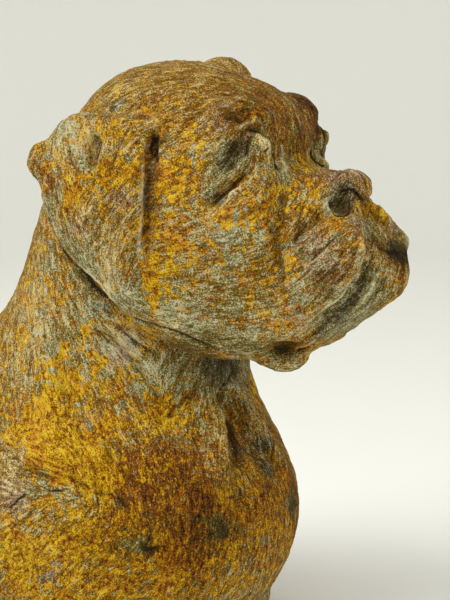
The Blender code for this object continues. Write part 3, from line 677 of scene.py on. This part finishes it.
def carve(body, points, normals):
    """How deep the strokes are cut at each point in units, with ridges below zero, and each point's seam.

    The seam is three numbers: how many widths the point lies beside the nearest stroke, how many widths
    away from it, and how dark its line of dirt and painted shade is there, below zero how much painted
    highlight and wear pale it.
    """
    depths = np.zeros(len(points))
    seams = np.full((len(points), 3), FAR)
    seams[:, 2] = 0
    polygons = [tuple(face.vertices) for face in body.data.polygons]
    skin = BVHTree.FromPolygons([Vector(p) for p in points], polygons)
    tables = ((HEAD_STROKES, from_head), (TRUNK_STROKES, from_trunk))
    for stroke, place in ((s, place) for table, place in tables for s in table):
        curve = along(stroke.points)
        share = np.linspace(0, 1, len(curve))
        fade = np.minimum(1, np.sin(np.pi * np.clip(share, 0.03, 0.97)) * 1.8)  # shallow at both ends
        for side in SIDES[stroke.side]:
            track = place(curve * (1, side, 1))
            track = np.array([skin.find_nearest(Vector(p))[0] for p in track])
            reach = STROKE_REACH * stroke.width * UNIT
            inside = (points > track.min(axis=0) - reach) & (points < track.max(axis=0) + reach)
            near = np.where(inside.all(axis=1))[0]
            gaps = np.linalg.norm(points[near, None] - track, axis=2) / UNIT / stroke.width
            closest = gaps.argmin(axis=1)
            gap = gaps[np.arange(len(near)), closest]
            depths[near] += stroke.depth * fade[closest] * np.exp(-(gap**2))
            across = np.cross(np.gradient(track, axis=0)[closest], normals[near])
            across /= np.linalg.norm(across, axis=1, keepdims=True) + 1e-12
            beside = ((points[near] - track[closest]) * across).sum(axis=1) / UNIT / stroke.width
            nearer = (gap < seams[near, 1]) & (stroke.dirt_and_shade != 0)
            seam = np.stack([beside, gap, stroke.dirt_and_shade * fade[closest]], axis=1)
            seams[near[nearer]] = seam[nearer]
    return depths, seams


def coat(points, lay, sizes):
    """How deep the gaps between the locks and tufts are at each point, in metres.

    The gaps lie where the streaks pass through zero.
    """
    lock = np.abs(streaks(points, lay, sizes.lock, sizes.lock * 1.4, 1)) ** 0.7
    tuft = np.abs(streaks(points, lay, sizes.tuft, sizes.tuft * 1.2, 2)) ** 0.8
    return sizes.lock_depth * (1 - 1.6 * lock) + sizes.tuft_depth * (1 - 1.6 * tuft)


def soft_ball(places, patch):
    """A patch's amount at each place: all of it at its centre and little beyond its radius."""
    total = np.zeros(len(places))
    for side in SIDES[patch.side]:
        away = np.linalg.norm(places - np.array(patch.centre) * (1, side, 1), axis=1)
        total += patch.amount * np.exp(-((away / patch.radius) ** 2))
    return total


def gathered(points):
    """How much of each colour, and of the painted shade, gathers at each point, by name."""
    amounts = {name: np.zeros(len(points)) for name in HEAD_PATCHES}
    for table, places in ((HEAD_PATCHES, to_head(points)), (TRUNK_PATCHES, to_trunk(points))):
        for name, patches in table.items():
            amounts[name] += sum(soft_ball(places, patch) for patch in patches)
    amounts["gold"] -= 0.7 * sum(np.clip(amounts[name], 0, 1) for name in GOLD_FREE)
    return {name: np.clip(a, -1, MOST_SHADE if name == "shade" else 1) for name, a in amounts.items()}


class Recipe:
    """The nodes of one material."""

    def __init__(self, name):
        self.material = bpy.data.materials.new(name)
        self.material.use_nodes = True
        self.tree = self.material.node_tree
        self.tree.nodes.clear()

    def node(self, kind, settings=None, inputs=None, output=0):
        """Adds a node with its settings, then its inputs' values or links, and returns one output."""
        made = self.tree.nodes.new(kind)
        for name, value in (settings or {}).items():
            setattr(made, name, value)
        for name, value in (inputs or {}).items():
            if isinstance(value, Wire):
                self.tree.links.new(value.socket, made.inputs[name])
            else:
                made.inputs[name].default_value = value
        return Wire(self, made.outputs[output]) if made.outputs else made

    def noise(self, where, width, detail, roughness, distortion=0.0):
        """Random values round a half, with bumps about that many metres wide."""
        return self.node(
            "ShaderNodeTexNoise",
            {"noise_dimensions": "3D"},
            {"Vector": where, "Scale": 1 / width, "Detail": detail, "Roughness": roughness,
             "Distortion": distortion},
        )

    def smeared(self, where, lay, width, reach, detail, roughness):
        """Noise smeared over that reach to both sides along the coat."""
        total = self.noise(where, width, detail, roughness)
        for step in (-reach, reach):
            moved = self.node(
                "ShaderNodeVectorMath", {"operation": "MULTIPLY_ADD"}, {0: lay, 1: (step,) * 3, 2: where}
            )
            total = total + self.noise(moved, width, detail, roughness)
        return total * 0.33

    def rise(self, value, low, high):
        """0 below low, 1 above high, and a smooth rise between them."""
        return self.node(
            "ShaderNodeMapRange", {"interpolation_type": "SMOOTHSTEP"}, {0: value, 1: low, 2: high}
        )

    def cover(self, pattern, amount, soft=0.05):
        """1 on a pattern's high parts, so that about that amount of the whole is covered.

        Most of a pattern lies between 0.2 and 0.8.
        """
        return self.rise(pattern + amount * 0.6, 0.8 - soft, 0.8 + soft)

    def mix(self, first, second, share, blend="MIX"):
        """A share of the second colour laid over the first."""
        first, second = (c if isinstance(c, Wire) else (*c, 1) for c in (first, second))
        settings = {"data_type": "RGBA", "blend_type": blend}
        return self.node("ShaderNodeMix", settings, {0: share, 6: first, 7: second}, output=2)

    def vector(self, name):
        """A vector attribute of the mesh."""
        return self.node("ShaderNodeAttribute", {"attribute_name": name}, output=1)

    def parts(self, name):
        """The three numbers of a vector attribute."""
        vector = self.vector(name)
        return [self.node("ShaderNodeSeparateXYZ", None, {0: vector}, output=i) for i in range(3)]

    def number(self, name):
        """An attribute of the mesh that is one number."""
        return self.node("ShaderNodeAttribute", {"attribute_name": name}, output=2)


class Wire:
    """An output socket that can stand in a sum."""

    def __init__(self, recipe, socket):
        self.recipe = recipe
        self.socket = socket

    def maths(self, operation, first, second):
        return self.recipe.node("ShaderNodeMath", {"operation": operation}, {0: first, 1: second})

    def __add__(self, other):
        return self.maths("ADD", self, other)

    def __radd__(self, other):
        return self.maths("ADD", other, self)

    def __sub__(self, other):
        return self.maths("SUBTRACT", self, other)

    def __rsub__(self, other):
        return self.maths("SUBTRACT", other, self)

    def __mul__(self, other):
        return self.maths("MULTIPLY", self, other)

    def __rmul__(self, other):
        return self.maths("MULTIPLY", other, self)

    def __abs__(self):
        return self.maths("ABSOLUTE", self, 0)

    def at_least(self, low):
        return self.maths("MAXIMUM", self, low)

    def at_most(self, high):
        return self.maths("MINIMUM", self, high)


def weathered_iron(patina):
    """Iron with worn khaki paint, gold and orange rust, grey-green bloom, dirt and painted shade in its
    crevices and painted highlights on its high points.
    """
    recipe = Recipe(IRON_SLOT)
    lay = recipe.vector("lay")
    place = recipe.node("ShaderNodeTexCoord", output=3)
    gold, green, rust = recipe.parts("growth")
    plum, slate, pale = recipe.parts("stain")
    shade, hollow = recipe.number("shade"), recipe.number("hollow")
    beside, away, seam = recipe.parts("seam")

    # Noises, from the finest hairs to broad clouds
    grain = patina.grain
    hair = recipe.smeared(place, lay, grain * 0.75, grain * 0.65, 2, 0.6)
    lock = recipe.smeared(place, lay, grain * 2, grain * 1.6, 2, 0.5)
    grit = recipe.noise(place, grain * 0.7, 2, 0.6)
    spot = recipe.noise(place, grain * 3.4, 3, 0.6)
    stain = recipe.noise(place, grain * 3.8, 3, 0.6)
    patch = recipe.noise(place, grain * 9, 3, 0.6, 0.4)
    cloud = recipe.noise(place, grain * 20, 2, 0.5)
    clot = recipe.noise(place, grain * 2.6, 2, 0.6)
    bloom = (spot - 0.5) * 1.3 + (patch - 0.5) * 0.8 + 0.5
    blush = (stain - 0.5) * 1.3 + (cloud - 0.5) * 0.8 + 0.5

    # Colours, one laid over the other
    rust_share = recipe.cover(blush, rust * 0.8 + patina.rust_ground, 0.18)
    face = recipe.mix(patina.khaki, patina.rust, rust_share * 0.9)
    plum_share = recipe.cover(1 - blush, plum * 0.8 + patina.plum_ground, 0.09)
    face = recipe.mix(face, patina.plum, plum_share * 0.85)
    green_share = recipe.cover(1 - bloom, green * 0.7 + patina.green_ground, 0.09)
    face = recipe.mix(face, patina.green, green_share * 0.9)
    pale_share = recipe.cover(blush, pale * 0.8, 0.14)
    face = recipe.mix(face, patina.pale, pale_share * 0.85)
    growth = recipe.mix(patina.gold, patina.orange, recipe.rise(blush, 0.4, 0.7))
    gold_share = recipe.cover(bloom, gold * 0.8 + patina.gold_ground, 0.07)
    face = recipe.mix(face, growth, gold_share * 0.9)
    # The shadow colour here only tints brown dots into the gold; they are no shade
    face = recipe.mix(face, patina.shadow, recipe.rise(clot, 0.48, 0.38) * gold_share, "MULTIPLY")
    slate_share = recipe.cover(stain, slate, 0.12)
    face = recipe.mix(face, patina.slate, slate_share * 0.85)

    # The coat's light and shade, painted: shade beside and between the locks, highlights on their tops
    light = (hair - 0.5) * 3 + (grit - 0.5) * 2.4 + (lock - 0.5) * 2.4
    # Painted shade with dirt in the hollows, and the shade patches' painted shade, painted light below zero
    light = light - (hollow - 0.5) * patina.dirt_and_shade - shade * 0.5
    face = recipe.mix(face, patina.shadow, recipe.rise(light, 0.35, -0.35), "MULTIPLY")
    face = recipe.mix(face, patina.crevice, recipe.rise(light, -0.2, -1), "MULTIPLY")
    # Painted highlights on the coat's high points
    glint_share = recipe.rise(light, 0, 0.65) * (1 - rust * 0.5) * (1 - gold_share * 0.75)
    face = recipe.mix(face, patina.glint, glint_share, "ADD")

    # Dirt and painted shade in the furrows, painted highlight and wear on the tops of the ridges
    wander = beside + (grit - 0.5) * 1.4
    line = recipe.rise(abs(wander), 0.7, 0.25) * recipe.rise(away, 1.6, 1)
    face = recipe.mix(face, patina.crevice, line * seam.at_least(0), "MULTIPLY")
    face = recipe.mix(face, patina.glint, line * seam.at_most(0) * -GLINT_AND_WEAR, "ADD")

    height = hair * 1.4 + lock + grit * 0.4
    bump = recipe.node("ShaderNodeBump", None, {"Strength": 0.55, "Distance": 0.001, "Height": height})
    surface = recipe.node(
        "ShaderNodeBsdfPrincipled",
        None,
        {"Base Color": face, "Roughness": patina.roughness, "Metallic": 0.0, "Normal": bump,
         "Specular IOR Level": 0.12},
    )
    recipe.node("ShaderNodeOutputMaterial", None, {"Surface": surface})
    return recipe.material


class DOG_OT_bust(bpy.types.Operator):
    """Carve the bust from a copy of the casting and lay its patina on"""

    bl_idname = "dog.bust"
    bl_label = "Iron dog bust"

    def execute(self, context):
        sizes = context.scene.dog_carving
        body = copy_of_casting("iron_dog_bust", sizes.skin)
        points, normals = get_points(body.data), get_normals(body.data)
        depths, seams = carve(body, points, normals)
        strokes = depths * UNIT
        sweep = sizes.sweep_depth * noise(points / sizes.sweep, 5)
        relief = coat(points, combed(points, normals), sizes)
        set_points(body.data, points - normals * (strokes + sweep + relief)[:, None])
        rough = (relief - relief.mean()) / relief.std()
        # How deep each point lies in the strokes and the coat; the hollows get painted shade and dirt from
        # it
        set_attribute(body.data, "cut", 0.5 + 0.2 * rough + depths / 4)
        set_attribute(body.data, "seam", seams)
        triangles = 2 * len(body.data.polygons)
        finish_with(body, "DECIMATE", ratio=sizes.triangles / triangles)
        self.cut_underside(body)
        self.mark_colours(body)
        body.data.materials.append(weathered_iron(context.scene.dog_patina))
        select_only(body)
        bpy.ops.object.shade_smooth_by_angle(angle=math.radians(SHARP_EDGE))
        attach(body, BODY)
        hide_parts(CASTING)
        return {"FINISHED"}

    def cut_underside(self, body):
        """Cuts the spare length off flat and closes the cut."""
        select_only(body)
        bpy.ops.object.mode_set(mode="EDIT")
        bpy.ops.mesh.select_all(action="SELECT")
        bpy.ops.mesh.bisect(plane_co=(0, 0, 0), plane_no=(0, 0, -1), use_fill=True, clear_outer=True)
        bpy.ops.mesh.select_all(action="SELECT")
        bpy.ops.mesh.quads_convert_to_tris()
        bpy.ops.object.mode_set(mode="OBJECT")
        points = np.clip(get_points(body.data), *np.array(CAD_BOX))
        if points[:, 2].min() > LEVEL:
            raise RuntimeError("The bust doesn't reach down to its underside")
        set_points(body.data, points)

    def mark_colours(self, body):
        """Writes on the mesh how the coat lies, where the colours gather and where shade is painted."""
        points, normals = get_points(body.data), get_normals(body.data)
        amounts = gathered(points)
        set_attribute(body.data, "lay", combed(points, normals))
        set_attribute(body.data, "growth", np.stack([amounts[name] for name in GROWTH], axis=1))
        set_attribute(body.data, "stain", np.stack([amounts[name] for name in STAIN], axis=1))
        # The painted shade, and painted light below zero
        set_attribute(body.data, "shade", amounts["shade"])
        # Where the hollows get painted shade, with dirt
        set_attribute(body.data, "hollow", np.clip(get_attribute(body.data, "cut"), 0, 1))


class DOG_OT_stage(bpy.types.Operator):
    """Set up the paper floor and backdrop, the lights and the camera"""

    bl_idname = "dog.stage"
    bl_label = "Studio stage"

    def execute(self, context):
        stage = context.scene.dog_stage
        self.paper(context, stage)
        self.lights(context, stage)
        self.camera(context, stage)
        context.scene.view_settings.view_transform = "Standard"
        return {"FINISHED"}

    def paper(self, context, stage):
        """A round floor whose rim sweeps up into the backdrop."""
        level = stage.radius * 0.6  # radius of the flat part
        bend = stage.radius - level
        wall = stage.radius * 0.8  # height above the bend
        steps = 10
        bpy.ops.object.select_all(action="DESELECT")
        bpy.ops.mesh.primitive_circle_add(vertices=96, radius=level, fill_type="NGON")
        floor = context.object
        floor.name = "paper_floor"
        bpy.ops.object.mode_set(mode="EDIT")
        bpy.ops.mesh.select_all(action="SELECT")
        bpy.ops.mesh.region_to_loop()
        for step in range(steps):
            before, now = (math.radians(90 * s / steps) for s in (step, step + 1))
            spread = (level + bend * math.sin(now)) / (level + bend * math.sin(before))
            lift = bend * (math.cos(before) - math.cos(now))
            bpy.ops.mesh.extrude_region_move(TRANSFORM_OT_translate={"value": (0, 0, lift)})
            bpy.ops.transform.resize(value=(spread, spread, 1), center_override=(0, 0, 0))
        bpy.ops.mesh.extrude_region_move(TRANSFORM_OT_translate={"value": (0, 0, wall)})
        bpy.ops.mesh.select_all(action="SELECT")
        bpy.ops.mesh.normals_make_consistent(inside=True)
        bpy.ops.object.mode_set(mode="OBJECT")
        bpy.ops.object.shade_smooth()
        recipe = Recipe("paper")
        finish = {"Base Color": (*stage.paper, 1), "Roughness": 0.9}
        surface = recipe.node("ShaderNodeBsdfPrincipled", None, finish)
        recipe.node("ShaderNodeOutputMaterial", None, {"Surface": surface})
        floor.data.materials.append(recipe.material)

    def lights(self, context, stage):
        """Even light from the sky, and two square lamps that face the middle of the head."""
        world = bpy.data.worlds.new("studio_air")
        context.scene.world = world
        world.use_nodes = True
        air = world.node_tree.nodes["Background"]
        air.inputs["Color"].default_value = (1, 1, 0.98, 1)
        air.inputs["Strength"].default_value = stage.sky
        middle = Vector(MIDDLE)
        for name, azimuth, elevation, away, size, watts in (
            ("key_light", -20, 48, 1.9, 1.3, stage.key),
            ("fill_light", 100, 20, 2.0, 1.6, stage.fill),
        ):
            bpy.ops.object.select_all(action="DESELECT")
            back = looking_from(math.radians(azimuth), math.radians(elevation))
            facing = back.to_track_quat("Z", "Y").to_euler()
            bpy.ops.object.light_add(type="AREA", location=middle + back * away, rotation=facing)
            lamp = context.object
            lamp.name = name
            lamp.data.size = size
            lamp.data.energy = watts

    def camera(self, context, stage):
        """Looks at the bust from its right, in front."""
        back = looking_from(stage.azimuth, stage.elevation)
        right = Vector((math.cos(stage.azimuth), math.sin(stage.azimuth), 0))
        up = back.cross(right)
        middle = Vector(MIDDLE)
        eye = middle + back * stage.distance
        aim = middle + right * AIM_RIGHT * UNIT - up * AIM_DOWN * UNIT
        facing = (eye - aim).to_track_quat("Z", "Y").to_euler()
        bpy.ops.object.camera_add(location=eye, rotation=facing)
        camera = context.object
        camera.name = "studio_camera"
        camera.data.lens = camera.data.sensor_width * stage.distance / (VIEW_HEIGHT * UNIT)
        context.scene.camera = camera


def looking_from(azimuth, elevation):
    """The direction towards a camera or lamp, with azimuth 0 on the dog's right and 90 degrees in front."""
    level = math.cos(elevation)
    return Vector((math.sin(azimuth) * level, -math.cos(azimuth) * level, math.sin(elevation)))


class DOG_PT_panel(bpy.types.Panel):
    """The bust's sizes, colours and operators"""

    bl_idname = "DOG_PT_panel"
    bl_label = "Iron Dog"
    bl_space_type = "VIEW_3D"
    bl_region_type = "UI"
    bl_category = "Iron Dog"

    def draw(self, context):
        for group in (context.scene.dog_carving, context.scene.dog_patina, context.scene.dog_stage):
            box = self.layout.box()
            for name in group.__annotations__:
                box.prop(group, name)
        for operator in (DOG_OT_bust, DOG_OT_stage):
            self.layout.operator(operator.bl_idname)


CLASSES = (DogCarving, DogPatina, DogStage, DOG_OT_bust, DOG_OT_stage, DOG_PT_panel)


def register():
    for made in CLASSES:
        bpy.utils.register_class(made)
    bpy.types.Scene.dog_carving = bpy.props.PointerProperty(type=DogCarving)
    bpy.types.Scene.dog_patina = bpy.props.PointerProperty(type=DogPatina)
    bpy.types.Scene.dog_stage = bpy.props.PointerProperty(type=DogStage)


def unregister():
    del bpy.types.Scene.dog_stage
    del bpy.types.Scene.dog_patina
    del bpy.types.Scene.dog_carving
    for made in reversed(CLASSES):
        bpy.utils.unregister_class(made)


def main():
    register()
    bpy.ops.dog.bust()
    bpy.ops.dog.stage()


if __name__ == "__main__":
    main()
